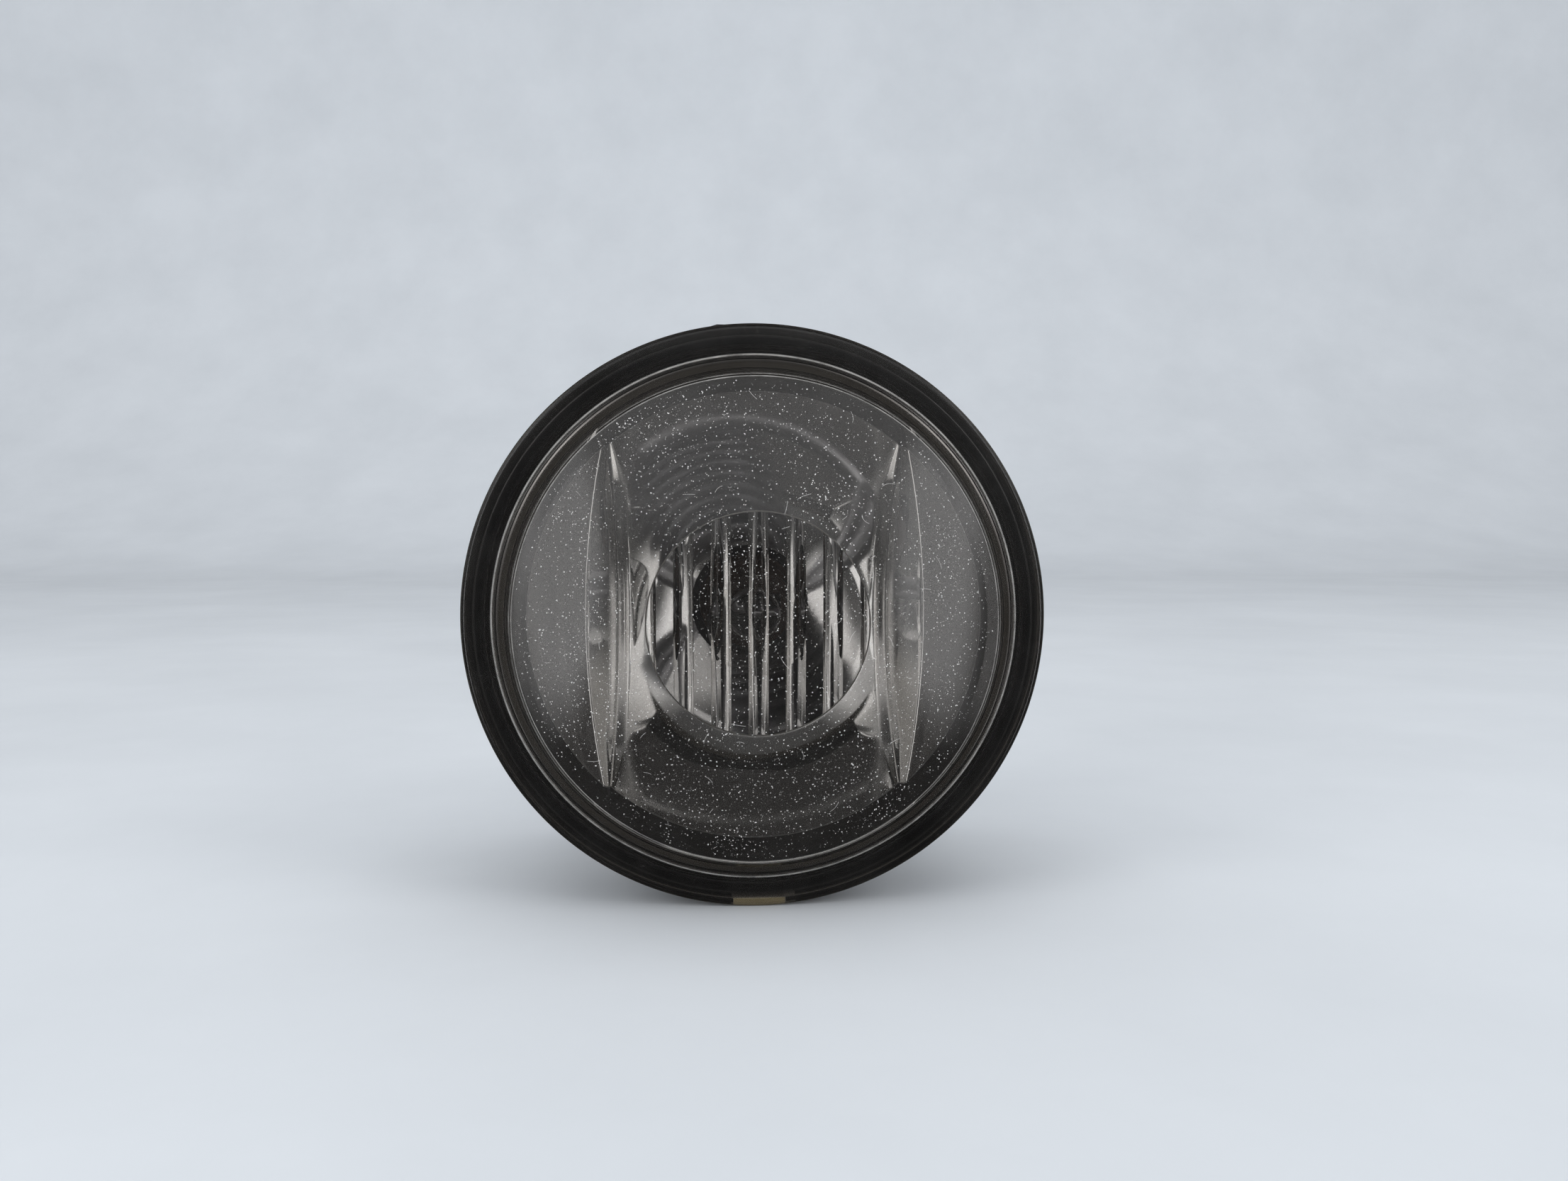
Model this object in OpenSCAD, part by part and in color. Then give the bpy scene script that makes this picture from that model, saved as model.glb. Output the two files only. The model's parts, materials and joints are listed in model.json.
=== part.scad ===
// Round fog light: a bonded lamp capsule that tilts in a stamped yoke bracket.
// +Z is up, the lens faces -Y, and the origin is the centre of the bracket's four
// bolt holes on its rear face. Millimetres.
// Parts are drawn in an axial frame (x right, y up, z forward from the rear face),
// and axial() turns that frame into the part's own.

/* [Lens] */
// Outside diameter of the lens skirt
lens_d = 90; // [89:0.5:92]
// Height of the dome above the lens flange
dome_h = 12; // [10:0.5:13]
// Radius of the edge where the dome meets its shoulder
dome_edge_r = 36.4; // [35.6:0.1:36.8]
// Height of the dome's edge above the lens flange
shoulder_h = 5; // [4:0.25:6]
// Wall thickness of the dome
lens_wall = 2.4; // [2.2:0.1:2.6]
// Radius of the fluted disc inside the dome
flute_disc_r = 16.25; // [13:0.25:17]
// Width of one convex flute
flute_w = 2.9; // [2.4:0.1:3]
// Width of the flat stripe between two flutes
flute_gap = 2.5; // [2:0.1:3]

/* [Reflector] */
// Focal length of the reflector's parabola
focal_l = 13; // [12.8:0.1:13.2]
// Half width of the reflecting bowl between its side walls
bowl_half_w = 25.8; // [25:0.2:27]
// Radius of curvature of the bowl's side walls
side_wall_r = 130; // [100:5:200]
// Lean of the side walls, in degrees
side_wall_draft = 11.5; // [8:0.5:13]
// Wall thickness of the reflector
reflector_wall = 1.8; // [1.5:0.1:2]

/* [Housing] */
// Distance from the bracket's rear face to the lens flange
lamp_depth = 50; // [49.5:0.25:51]
// Outside radius of the bulb neck
neck_r = 15.2; // [14.8:0.1:15.4]
// Thickness of the stiffening ribs
rib_t = 2; // [1.6:0.2:2.6]

/* [Bracket] */
// Thickness of the bracket's steel
steel_t = 2; // [1.8:0.1:2.2]
// Outside width across the yoke's arms
yoke_w = 80; // [79.8:0.1:80.6]
// Hole spacing across the bracket
bolt_dx = 56; // [54:1:58]
// Hole spacing up the bracket
bolt_dz = 32; // [30:1:34]
// Diameter of the bracket's bolt holes
bolt_hole_d = 6.6; // [5.5:0.1:7]

/* [Aiming] */
// Distance of the aiming screw's axis below the pivot
aim_arm = 36; // [35.5:0.25:36.5]
// Outside diameter of the aiming screw's thread
screw_d = 6; // [5.5:0.1:6]

/* [Hidden] */
$fn = 96;
eps = 0.01;
air = 0.05;        // gap between faces that meet without a press fit
run = 0.06;        // radial clearance of a turning fit

// Lens
lens_r = lens_d / 2;
flange_z = lamp_depth;
flange_t = 2.4;
skirt_t = 1.6;
skirt_len = 6.5;
skirt_round = 0.7;
foot_r = 40.2;                       // where the shoulder meets the flange
tongue_t = 1.2;
tongue_end_z = flange_z - 7.5;
apex_z = flange_z + dome_h;
edge_z = flange_z + shoulder_h;
dome_rise = dome_h - shoulder_h;
dome_r = (dome_edge_r * dome_edge_r + dome_rise * dome_rise) / (2 * dome_rise);
dome_centre_z = apex_z - dome_r;
inner_edge_r = dome_edge_r + 0.2;
pad_z = dome_centre_z + sqrt(pow(dome_r - lens_wall, 2) - pow(flute_disc_r, 2)) - 0.5;
flute_round_r = 2.2;                 // section radius of each flute
flute_sag = flute_round_r - sqrt(pow(flute_round_r, 2) - pow(flute_w / 2, 2));

// Reflector: z = vertex_z + r^2 / (4 focal_l)
reflector_flange_r = foot_r - 0.6;
reflector_front_z = flange_z - flange_t - 0.2;
bowl_r = 36.6;
vertex_z = reflector_front_z - bowl_r * bowl_r / (4 * focal_l);
bulb_hole_r = 8.5;

// Housing
channel_out_r = 43.1;                // outside of the sealant channel
channel_in_r = 38.4;
channel_w = 1.2;                     // thickness of each channel wall
channel_floor_z = flange_z - 9;
channel_top_z = flange_z - 2.7;
ledge_z = reflector_front_z - reflector_wall - 0.1;
lip_r = lens_r - 0.2;
lip_front_z = flange_z - skirt_len - 0.3;
flange_back_z = flange_z - 11.3;
housing_gap = 1.2;                   // air behind the reflector
housing_wall = 2.4;
neck_end_z = 9;
neck_bore_r = 12;
throat_r = 12.6;                     // in front of the bayonet lip
bayonet_z = 15;                      // rear face of the bayonet lip
bayonet_t = 2;
bayonet_r = 9.6;
lug_angles = [90, 210, 330];
lug_w = 36;                          // angle that a lug fills
notch_turn = 45;                     // turn from locked to the notches

// Pivot and aiming
pivot_z = 28;
arm_end_r = 7;
pin_r = 3;
boss_r = 6.5;
boss_end_x = 36.6;
bushing_r = 4.2;
bushing_flange_t = 0.8;
ear_in_x = 5.6;
ear_t = 2.4;
trunnion_r = 2.5;
screw_r = screw_d / 2;
screw_tip_z = 31.5;
screw_play = 0.15;

// Vents: [x, y] of each nipple, and which way its elbow opens
vents = [[-13, 20, 160], [15, -18, -30]];
nipple_r = 3.4;
nipple_bore_r = 1.9;
nipple_end_z = 14;

function parabola(r) = vertex_z + r * r / (4 * focal_l);
// A point on the parabola, moved out along its normal by d
function shell(r, d) = let (a = atan(r / (2 * focal_l))) [r + d * sin(a), parabola(r) - d * cos(a)];
function shell_curve(r0, r1, d, n = 14) = [for (i = [0:n]) shell(r0 + (r1 - r0) * i / n, d)];
// Points of the dome's section from the axis out to radius r, wall thickness t below its face
function dome_curve(r, t, n = 16) =
    [for (i = [0:n]) let (x = r * i / n) [x, dome_centre_z + sqrt(pow(dome_r - t, 2) - x * x)]];
function reversed(p) = [for (i = [len(p) - 1:-1:0]) p[i]];

module axial() rotate([90, 0, 0]) children();
module both_sides() {
    children();
    mirror([1, 0, 0]) children();
}
// A ring about the lamp's axis
module ring(r_out, r_in, z0, z1) translate([0, 0, z0]) difference() {
    cylinder(r = r_out, h = z1 - z0);
    translate([0, 0, -1]) cylinder(r = r_in, h = z1 - z0 + 2);
}
// A cylinder along x from x0 to x1, at height y and station z
module cross_pin(r, x0, x1, y, z) translate([x0, y, z]) rotate([0, 90, 0]) cylinder(r = r, h = x1 - x0);
// A rectangle with round corners, centred on the origin
module round_rect(w, h, r) {
    square([w - 2 * r, h], center = true);
    square([w, h - 2 * r], center = true);
    for (x = [-1, 1], y = [-1, 1]) translate([x * (w / 2 - r), y * (h / 2 - r)]) circle(r = r);
}
module slab(z0, z1) translate([0, 0, z0]) linear_extrude(z1 - z0) children();

// ---- Lamp capsule ----

module lens_shell() rotate_extrude() polygon(concat(
    dome_curve(dome_edge_r, 0),
    [
        [foot_r, flange_z],
        [lens_r - skirt_round, flange_z],
        [lens_r - skirt_round * 0.3, flange_z - skirt_round * 0.3],
        [lens_r, flange_z - skirt_round],
        [lens_r, flange_z - skirt_len],
        [lens_r - skirt_t, flange_z - skirt_len],
        [lens_r - skirt_t, flange_z - flange_t],
        [foot_r + tongue_t, flange_z - flange_t],
        [foot_r + tongue_t, tongue_end_z],
        [foot_r, tongue_end_z],
        [foot_r, flange_z - flange_t],
        [foot_r - 1.3, flange_z - flange_t],
        [foot_r - 1.9, flange_z - flange_t + 0.9]
    ],
    reversed(dome_curve(inner_edge_r, lens_wall))
));

// A disc of upright convex flutes with flat stripes between them
module fluted_disc() intersection() {
    translate([0, 0, pad_z - flute_sag - 0.5]) cylinder(r = flute_disc_r, h = 3.5);
    union() {
        slab(pad_z, pad_z + 3) square(2 * flute_disc_r + 2, center = true);
        for (i = [-3:3]) translate([i * (flute_w + flute_gap), 0, pad_z - flute_sag + flute_round_r])
            rotate([90, 0, 0]) cylinder(r = flute_round_r, h = 2 * flute_disc_r + 2, center = true);
    }
}

module lens() color([0.75, 0.75, 0.73, 0.35]) axial() {
    lens_shell();
    fluted_disc();
}

module lens_sealant() color([0.05, 0.05, 0.05]) axial() difference() {
    ring(channel_out_r - channel_w - air, channel_in_r + channel_w + air + 0.05, channel_floor_z + air, flange_z - 4.5);
    ring(foot_r + tongue_t + air, foot_r - air, tongue_end_z - air, flange_z);
}

// The space between the two curved side walls, grown by d. The walls lean outwards towards the lens.
module between_side_walls(d) {
    base_z = 5;
    top_z = flange_z + 5;
    lean = tan(side_wall_draft);
    intersection_for(side = [-1, 1]) translate([side * (side_wall_r - bowl_half_w), 0, base_z])
        cylinder(
            r1 = side_wall_r + d - (reflector_front_z - base_z) * lean,
            r2 = side_wall_r + d + (top_z - reflector_front_z) * lean,
            h = top_z - base_z,
            $fn = 200
        );
}

module reflector() color([0.8, 0.8, 0.8]) axial() difference() {
    union() {
        intersection() {
            rotate_extrude() polygon(concat(
                [[0, parabola(bulb_hole_r) - reflector_wall], [bulb_hole_r, parabola(bulb_hole_r) - reflector_wall]],
                shell_curve(bulb_hole_r, bowl_r - 1.6, reflector_wall),
                [[bowl_r, reflector_front_z - reflector_wall / 2], [0, reflector_front_z - reflector_wall / 2]]
            ));
            between_side_walls(reflector_wall);
        }
        ring(reflector_flange_r, bulb_hole_r, reflector_front_z - reflector_wall, reflector_front_z);
    }
    intersection() {
        rotate_extrude() polygon(concat(
            [[0, vertex_z - 5], [bulb_hole_r, vertex_z - 5]],
            shell_curve(bulb_hole_r, bowl_r, 0, 24),
            [[bowl_r, flange_z], [0, flange_z]]
        ));
        between_side_walls(0);
    }
}

module housing_body() rotate_extrude() polygon(concat(
    [[0, neck_end_z], [neck_r, neck_end_z]],
    shell_curve(12.8, 32, reflector_wall + housing_gap + housing_wall),
    [
        [38, flange_back_z],
        [lip_r - 1.2, flange_back_z],
        [lip_r, flange_back_z + 1.9],
        [lip_r, lip_front_z],
        [channel_out_r, lip_front_z],
        [channel_out_r, channel_top_z],
        [0, channel_top_z]
    ]
));

module housing_cavity() rotate_extrude() polygon(concat(
    [[0, bayonet_z + bayonet_t], [throat_r, bayonet_z + bayonet_t]],
    shell_curve(11.4, 33, reflector_wall + housing_gap),
    [
        [channel_in_r, flange_z - 7],
        [channel_in_r, ledge_z],
        [channel_out_r - channel_w, ledge_z],
        [channel_out_r - channel_w, flange_z],
        [0, flange_z]
    ]
));

// A radial web from the neck to the flange
module rib(angle) rotate([0, 0, angle]) rotate([90, 0, 0]) translate([0, 0, -rib_t / 2])
    linear_extrude(rib_t) polygon([
        [neck_r - 1, 12], [neck_r - 1, flange_back_z + 1], [42, flange_back_z + 1], [42, flange_back_z - 1.6]
    ]);

module pivot_boss() cross_pin(boss_r, 20, boss_end_x, 0, pivot_z);

// One ear of the clevis that holds the aiming nut
module nut_ear() translate([ear_in_x, 0, 0]) rotate([90, 0, 90]) linear_extrude(ear_t) {
    translate([-aim_arm, pivot_z]) circle(r = 5);
    polygon([[-aim_arm, pivot_z - 5], [-aim_arm, pivot_z + 5], [-34, 37.5], [-34, flange_back_z + 1],
        [-20, flange_back_z], [-20, pivot_z - 5]]);
}

// The locating tab on the flange, seen from the front
module locating_tab() slab(flange_z - 9.5, lip_front_z)
    polygon([[-13, 40], [-10.5, 44.3], [-5.9, 45.75], [3.7, 45.6], [8.5, 44.2], [11, 40]]);

module vent_nipple(v) translate([v[0], v[1], nipple_end_z]) cylinder(r = nipple_r, h = 22);

module housing() color([0.07, 0.07, 0.07]) axial() difference() {
    union() {
        housing_body();
        both_sides() pivot_boss();
        both_sides() nut_ear();
        for (a = [35, 62, 98, 145, 215, 240, 335]) rib(a);
        for (v = vents) vent_nipple(v);
        locating_tab();
    }
    housing_cavity();
    ring(channel_out_r - channel_w, channel_in_r + channel_w + 0.1, channel_floor_z, flange_z);
    translate([0, 0, -1]) cylinder(r = bayonet_r, h = flange_z);
    translate([0, 0, -1]) cylinder(r = neck_bore_r, h = bayonet_z + 1);
    for (a = lug_angles) intersection() {
        ring(neck_bore_r - 0.3, bayonet_r - 1, bayonet_z - 1, bayonet_z + bayonet_t + 1);
        wedge(a + notch_turn, lug_w + 4);
    }
    both_sides() cross_pin(bushing_r, 29, boss_end_x + 1, 0, pivot_z);
    cross_pin(trunnion_r + run, -ear_in_x - ear_t - 1, ear_in_x + ear_t + 1, -aim_arm, pivot_z);
    for (v = vents) translate([v[0], v[1], nipple_end_z - 1]) cylinder(r = nipple_bore_r, h = 24);
    slab(flange_back_z - 1, lip_front_z + 1) translate([-3.8, -lip_r - 2]) square([10, 3.4]);
}

// A sector of the lamp's axis, of the given width in degrees
module wedge(angle, width) rotate([0, 0, angle]) translate([0, 0, -5]) linear_extrude(flange_z)
    polygon([[0, 0], [40 * cos(width / 2), -40 * sin(width / 2)], [40 * cos(width / 2), 40 * sin(width / 2)]]);

module pivot_bushing() color([0.85, 0.84, 0.78]) axial() difference() {
    union() {
        cross_pin(bushing_r, 29.3, boss_end_x, 0, pivot_z);
        cross_pin(boss_r - 0.3, boss_end_x, boss_end_x + bushing_flange_t, 0, pivot_z);
    }
    cross_pin(pin_r + run, 28, boss_end_x + 2, 0, pivot_z);
}

// A rubber elbow pushed over a nipple. It turns back and then to the side.
module vent_elbow(v) color([0.1, 0.1, 0.1]) axial() translate([v[0], v[1], 0]) rotate([0, 0, v[2]]) {
    collar_r = nipple_r + 1.3;
    bore_r = nipple_bore_r + 0.3;
    ring(collar_r, nipple_r + 0.02, nipple_end_z, nipple_end_z + 5);
    ring(collar_r, bore_r, nipple_end_z - 1, nipple_end_z);
    translate([collar_r, 0, nipple_end_z - 1]) rotate([90, 0, 0])
        rotate_extrude(angle = 90) translate([-collar_r, 0]) difference() {
            circle(r = collar_r - 0.4);
            circle(r = bore_r);
        }
}

module vent_filters() color([0.35, 0.35, 0.33]) axial() for (v = vents)
    translate([v[0], v[1], nipple_end_z + 1]) cylinder(r = nipple_bore_r - 0.02, h = 5);

// ---- Bulb ----

module terminal_blades(d = 0) both_sides() translate([3.6 - d, -2.4 - d, -8.5]) cube([0.8 + 2 * d, 4.8 + 2 * d, 14]);

module lead_wires() {
    lead_r = 0.4;
    translate([-2.2, 0, 17]) cylinder(r = lead_r, h = 15);
    cross_pin(lead_r, -2.2, 0.8, 0, 32);
    translate([2.6, 0, 17]) cylinder(r = lead_r, h = 20.4);
    cross_pin(lead_r, -0.8, 2.6, 0, 37.4);
}

module bulb_base() color([0.2, 0.2, 0.21]) axial() difference() {
    union() {
        slab(neck_end_z - 2.3, neck_end_z - 0.1) circle(r = 14.5);
        slab(neck_end_z - 0.2, bayonet_z - 0.1) circle(r = neck_bore_r - 0.4);
        slab(bayonet_z - 0.2, 19.4) circle(r = bayonet_r - 0.2);
        intersection() {
            slab(bayonet_z + bayonet_t + 0.1, 19) circle(r = neck_bore_r - 0.6);
            for (a = lug_angles) wedge(a, lug_w);
        }
        slab(-11, neck_end_z - 2.2) round_rect(20, 13, 3);
        both_sides() slab(0, neck_end_z - 2.2) translate([11, 0]) square([5, 2.6], center = true);
        slab(-3, neck_end_z - 2.2) translate([0, 7]) square([6, 1.8], center = true);
    }
    ring(neck_bore_r + 2, 10.1, 10, 12.6);
    slab(-12, 0) round_rect(16.4, 9.4, 1.6);
    terminal_blades();
    slab(16.8, 20) circle(r = 7.3);
}

module bulb_collar() color([0.16, 0.13, 0.12]) axial() difference() {
    union() {
        slab(16.85, 22.5) circle(r = 7.2);
        slab(22.4, 23.4) circle(r = 6.4);
    }
    slab(16, 24) square([10.2, 4.6], center = true);
}

module bulb_glass() color([0.85, 0.88, 0.9, 0.3]) axial() difference() {
    union() {
        rotate_extrude() polygon([
            [0, 24.6], [3.4, 24.6], [4.2, 26.2], [4.2, 40], [3.9, 41.6], [3, 42.8], [1.6, 43.5], [0, 43.7]
        ]);
        slab(17, 25.5) square([10, 4.4], center = true);
    }
    rotate_extrude() polygon([
        [0, 26.4], [2.8, 26.4], [3.6, 27.4], [3.6, 39.8], [3.32, 41.2], [2.6, 42.2], [1.4, 42.8], [0, 43]
    ]);
    lead_wires();
}

module bulb_filament() color([0.5, 0.5, 0.52]) axial() translate([0, 0, 32.4]) cylinder(r = 0.9, h = 4.6);

module bulb_leads() color([0.6, 0.6, 0.62]) axial() lead_wires();

module bulb_seal() color([0.75, 0.25, 0.08]) axial() rotate_extrude()
    translate([(neck_bore_r - 0.03 + 10.15) / 2, 11.3]) circle(r = (neck_bore_r - 0.03 - 10.15) / 2);

module bulb_terminals() color([0.8, 0.78, 0.7]) axial() terminal_blades();

// ---- Bracket ----

module bracket_plate() slab(0, steel_t) difference() {
    union() {
        round_rect(68, 46, 5);
        translate([0, -28]) round_rect(30, 34, 5);
        square([yoke_w - 8, 18], center = true);
    }
    circle(r = 17);
    for (x = [-1, 1], y = [-1, 1]) translate([x * bolt_dx / 2, y * bolt_dz / 2]) circle(d = bolt_hole_d);
    translate([0, -aim_arm]) circle(r = 4.6);
}

module yoke_arm() {
    bend_r = 4;
    bend_x = yoke_w / 2 - bend_r;
    translate([bend_x, 9, bend_r]) rotate([90, 0, 0]) rotate([0, 0, -90])
        rotate_extrude(angle = 90) translate([bend_r - steel_t, 0]) square([steel_t, 18]);
    translate([yoke_w / 2 - steel_t, 0, 0]) rotate([90, 0, 90]) linear_extrude(steel_t) difference() {
        union() {
            polygon([[-9, bend_r], [9, bend_r], [arm_end_r, pivot_z], [-arm_end_r, pivot_z]]);
            translate([0, pivot_z]) circle(r = arm_end_r);
        }
        translate([0, pivot_z]) circle(r = pin_r);
    }
}

// A pressed rib that stiffens the plate beside the bulb opening
module plate_bead() translate([24, 0, steel_t - 0.6]) rotate([90, 0, 0]) cylinder(r = 1.3, h = 30, center = true);

module bracket() color([0.62, 0.63, 0.63]) axial() {
    bracket_plate();
    both_sides() yoke_arm();
    both_sides() plate_bead();
}

module pivot_pin() color([0.7, 0.7, 0.68]) axial() {
    cross_pin(pin_r, 30, yoke_w / 2, 0, pivot_z);
    cross_pin(5.2, yoke_w / 2, yoke_w / 2 + 1.4, 0, pivot_z);
    cross_pin(3.6, yoke_w / 2 + 1.3, yoke_w / 2 + 2, 0, pivot_z);
}

module pivot_washers() color([0.7, 0.7, 0.68]) axial() both_sides() difference() {
    cross_pin(6, boss_end_x + bushing_flange_t + air, yoke_w / 2 - steel_t - air, 0, pivot_z);
    cross_pin(pin_r + 0.1, boss_end_x, yoke_w / 2, 0, pivot_z);
}

module screw_bushing() color([0.85, 0.84, 0.78]) axial() translate([0, -aim_arm, 0]) difference() {
    union() {
        ring(6.5, 2, -1.4, 0);
        ring(4.6, 2, -eps, steel_t + eps);
        ring(6.2, 2, steel_t, steel_t + 1.4);
    }
    translate([0, 0, -3]) cylinder(r = screw_r + run, h = 8);
}

// ---- Aiming screw and nut ----

module aim_screw() color([0.72, 0.7, 0.6]) axial() translate([0, -aim_arm, 0]) difference() {
    union() {
        translate([0, 0, -2.5]) cylinder(r = screw_r, h = screw_tip_z + 1.3);
        translate([0, 0, screw_tip_z - 1.2]) cylinder(r1 = screw_r, r2 = screw_r - 1, h = 1.2);
        translate([0, 0, -2.5]) cylinder(r = 6.3, h = 1);
        translate([0, 0, -6.5]) cylinder(r = 5.77, h = 4.1, $fn = 6);
    }
    for (a = [0, 90]) rotate([0, 0, a]) translate([-2.4, -0.5, -7]) cube([4.8, 1, 2.4]);
}

module screw_clip() color([0.7, 0.7, 0.68]) axial() translate([0, -aim_arm, 0]) difference() {
    ring(6, screw_r, steel_t + 1.5, steel_t + 2.1);
    for (a = [0:60:300]) rotate([0, 0, a]) translate([screw_r - 1, -0.4, 0]) cube([2.2, 0.8, 8]);
}

module aim_nut() color([0.9, 0.89, 0.85]) axial() difference() {
    union() {
        translate([0, -aim_arm, pivot_z]) rotate([90, 0, 90]) translate([0, 0, -ear_in_x + 0.2])
            linear_extrude(2 * ear_in_x - 0.4) round_rect(8, 8, 1.5);
        cross_pin(trunnion_r, -ear_in_x - ear_t - 0.4, ear_in_x + ear_t + 0.4, -aim_arm, pivot_z);
    }
    translate([0, -aim_arm, pivot_z - 6]) cylinder(r = screw_r + screw_play, h = 12);
}

lens();
lens_sealant();
reflector();
housing();
mirror([1, 0, 0]) pivot_bushing();  // pivot_bushing_left
pivot_bushing();  // pivot_bushing_right
vent_elbow(vents[0]);  // vent_elbow_upper
vent_elbow(vents[1]);  // vent_elbow_lower
vent_filters();
bulb_base();
bulb_collar();
bulb_glass();
bulb_filament();
bulb_leads();
bulb_seal();
bulb_terminals();
bracket();
mirror([1, 0, 0]) pivot_pin();  // pivot_pin_left
pivot_pin();  // pivot_pin_right
pivot_washers();
screw_bushing();
aim_screw();
screw_clip();
aim_nut();
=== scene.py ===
import json
import math

import bmesh
import bpy
import numpy as np
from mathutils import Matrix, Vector


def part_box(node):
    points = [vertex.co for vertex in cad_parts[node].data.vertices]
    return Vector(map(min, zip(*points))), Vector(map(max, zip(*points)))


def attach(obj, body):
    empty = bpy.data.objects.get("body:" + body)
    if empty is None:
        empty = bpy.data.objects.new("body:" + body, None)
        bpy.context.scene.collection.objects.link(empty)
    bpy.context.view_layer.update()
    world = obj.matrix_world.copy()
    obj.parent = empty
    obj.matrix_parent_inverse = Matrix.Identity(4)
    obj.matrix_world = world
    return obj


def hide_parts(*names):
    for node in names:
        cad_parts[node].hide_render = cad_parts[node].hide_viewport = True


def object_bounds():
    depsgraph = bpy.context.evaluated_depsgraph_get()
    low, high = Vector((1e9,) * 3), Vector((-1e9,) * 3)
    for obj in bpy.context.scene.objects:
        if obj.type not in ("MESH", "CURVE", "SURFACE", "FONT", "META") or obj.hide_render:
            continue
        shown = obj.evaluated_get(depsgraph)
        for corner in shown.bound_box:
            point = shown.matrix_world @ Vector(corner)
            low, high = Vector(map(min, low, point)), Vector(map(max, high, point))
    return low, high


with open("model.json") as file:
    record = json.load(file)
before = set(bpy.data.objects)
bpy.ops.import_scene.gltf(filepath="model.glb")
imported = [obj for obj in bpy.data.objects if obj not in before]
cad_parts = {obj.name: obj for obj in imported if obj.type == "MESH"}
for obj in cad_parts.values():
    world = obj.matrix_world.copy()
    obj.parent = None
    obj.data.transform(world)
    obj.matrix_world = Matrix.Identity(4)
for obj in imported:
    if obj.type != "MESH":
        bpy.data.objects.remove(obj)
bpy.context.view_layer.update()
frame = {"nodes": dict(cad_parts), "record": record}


record = frame["record"]
nodes = frame["nodes"]
MM = 0.001
SEG = 256

# Lengths are in millimetres in an axial frame: x right, y up, z forward from the bracket's rear face.
low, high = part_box("lens")
LENS_R = (high.x - low.x) / 2 / MM
APEX_Z = -low.y / MM
SKIRT_END_Z = 43.5
FLANGE_Z = 50.0
DOME_H = APEX_Z - FLANGE_Z
DOME_EDGE_R = 36.4
SHOULDER_H = 5.0
WALL = 2.4
SKIRT_WALL = 1.6
RIB_WALL = 1.2
RIB_DEPTH = 5.1
FOOT_R = 40.2
DISC_R = 16.25
FLUTE_W = 2.9
FLUTE_GAP = 2.5
FLUTE_R = 2.2
DARK_RIM_FROM_R = 34.7
DARK_RIM_TO_R = 39.05
GATE_X = 0.4
GATE_HALF = 4.1
GATE_TOP_Y = -43.4


# ---------------------------------------------------------------- mesh tools

def to_row(p):
    return (p[0] * MM, -p[2] * MM, p[1] * MM)


def make(name, verts, faces):
    """A mesh object from axial millimetres, with its normals facing out."""
    mesh = bpy.data.meshes.new(name)
    mesh.from_pydata([to_row(v) for v in verts], [], faces)
    obj = bpy.data.objects.new(name, mesh)
    bpy.context.scene.collection.objects.link(obj)
    bm = bmesh.new()
    bm.from_mesh(mesh)
    bmesh.ops.remove_doubles(bm, verts=bm.verts, dist=1e-7)
    bmesh.ops.recalc_face_normals(bm, faces=bm.faces)
    bm.to_mesh(mesh)
    bm.free()
    return obj


def lathe(name, profile, segments=SEG, at=(0, 0)):
    """Revolves a closed (r, z) profile about the axis through at."""
    verts, rings = [], []
    for r, z in profile:
        if r < 1e-6:
            rings.append([len(verts)] * segments)
            verts.append((at[0], at[1], z))
            continue
        rings.append(list(range(len(verts), len(verts) + segments)))
        for k in range(segments):
            a = 2 * math.pi * k / segments
            verts.append((at[0] + r * math.cos(a), at[1] + r * math.sin(a), z))
    faces = []
    for i, ring in enumerate(rings):
        after = rings[(i + 1) % len(rings)]
        for k in range(segments):
            n = (k + 1) % segments
            quad = []
            for v in (ring[k], ring[n], after[n], after[k]):
                if v not in quad:
                    quad.append(v)
            if len(quad) > 2:
                faces.append(quad)
    return make(name, verts, faces)


def prism(name, outline, z0, z1, place=lambda p: p):
    """Extrudes a closed outline from z0 to z1. place moves each point."""
    n = len(outline)
    verts = [place((x, y, z)) for z in (z0, z1) for x, y in outline]
    faces = [list(range(n))[::-1], list(range(n, 2 * n))]
    faces += [[k, (k + 1) % n, n + (k + 1) % n, n + k] for k in range(n)]
    return make(name, verts, faces)


def rounded(points, radii, steps=6):
    """A closed polygon with each corner turned into an arc. radii is one number or one per corner."""
    out = []
    n = len(points)
    if not isinstance(radii, (list, tuple)):
        radii = [radii] * n
    for i, p in enumerate(points):
        p = Vector(p)
        a = Vector(points[i - 1]) - p
        b = Vector(points[(i + 1) % n]) - p
        radius = radii[i]
        if radius <= 0 or a.length < 1e-6 or b.length < 1e-6:
            out.append(tuple(p))
            continue
        half = a.angle(b) / 2
        if half > math.pi / 2 - 0.02:
            out.append(tuple(p))
            continue
        back = min(radius / math.tan(half), a.length * 0.49, b.length * 0.49)
        radius = back * math.tan(half)
        a.normalize()
        b.normalize()
        centre = p + (a + b).normalized() * (radius / math.sin(half))
        start = p + a * back - centre
        end = p + b * back - centre
        turn = start.angle(end)
        for k in range(steps + 1):
            t = k / steps
            v = (start * math.sin((1 - t) * turn) + end * math.sin(t * turn)) / math.sin(turn)
            out.append(tuple(centre + v))
    return out


def apply_modifiers(obj):
    bpy.context.view_layer.update()
    graph = bpy.context.evaluated_depsgraph_get()
    mesh = bpy.data.meshes.new_from_object(obj.evaluated_get(graph))
    obj.modifiers.clear()
    old = obj.data
    obj.data = mesh
    bpy.data.meshes.remove(old)
    return obj


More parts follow.
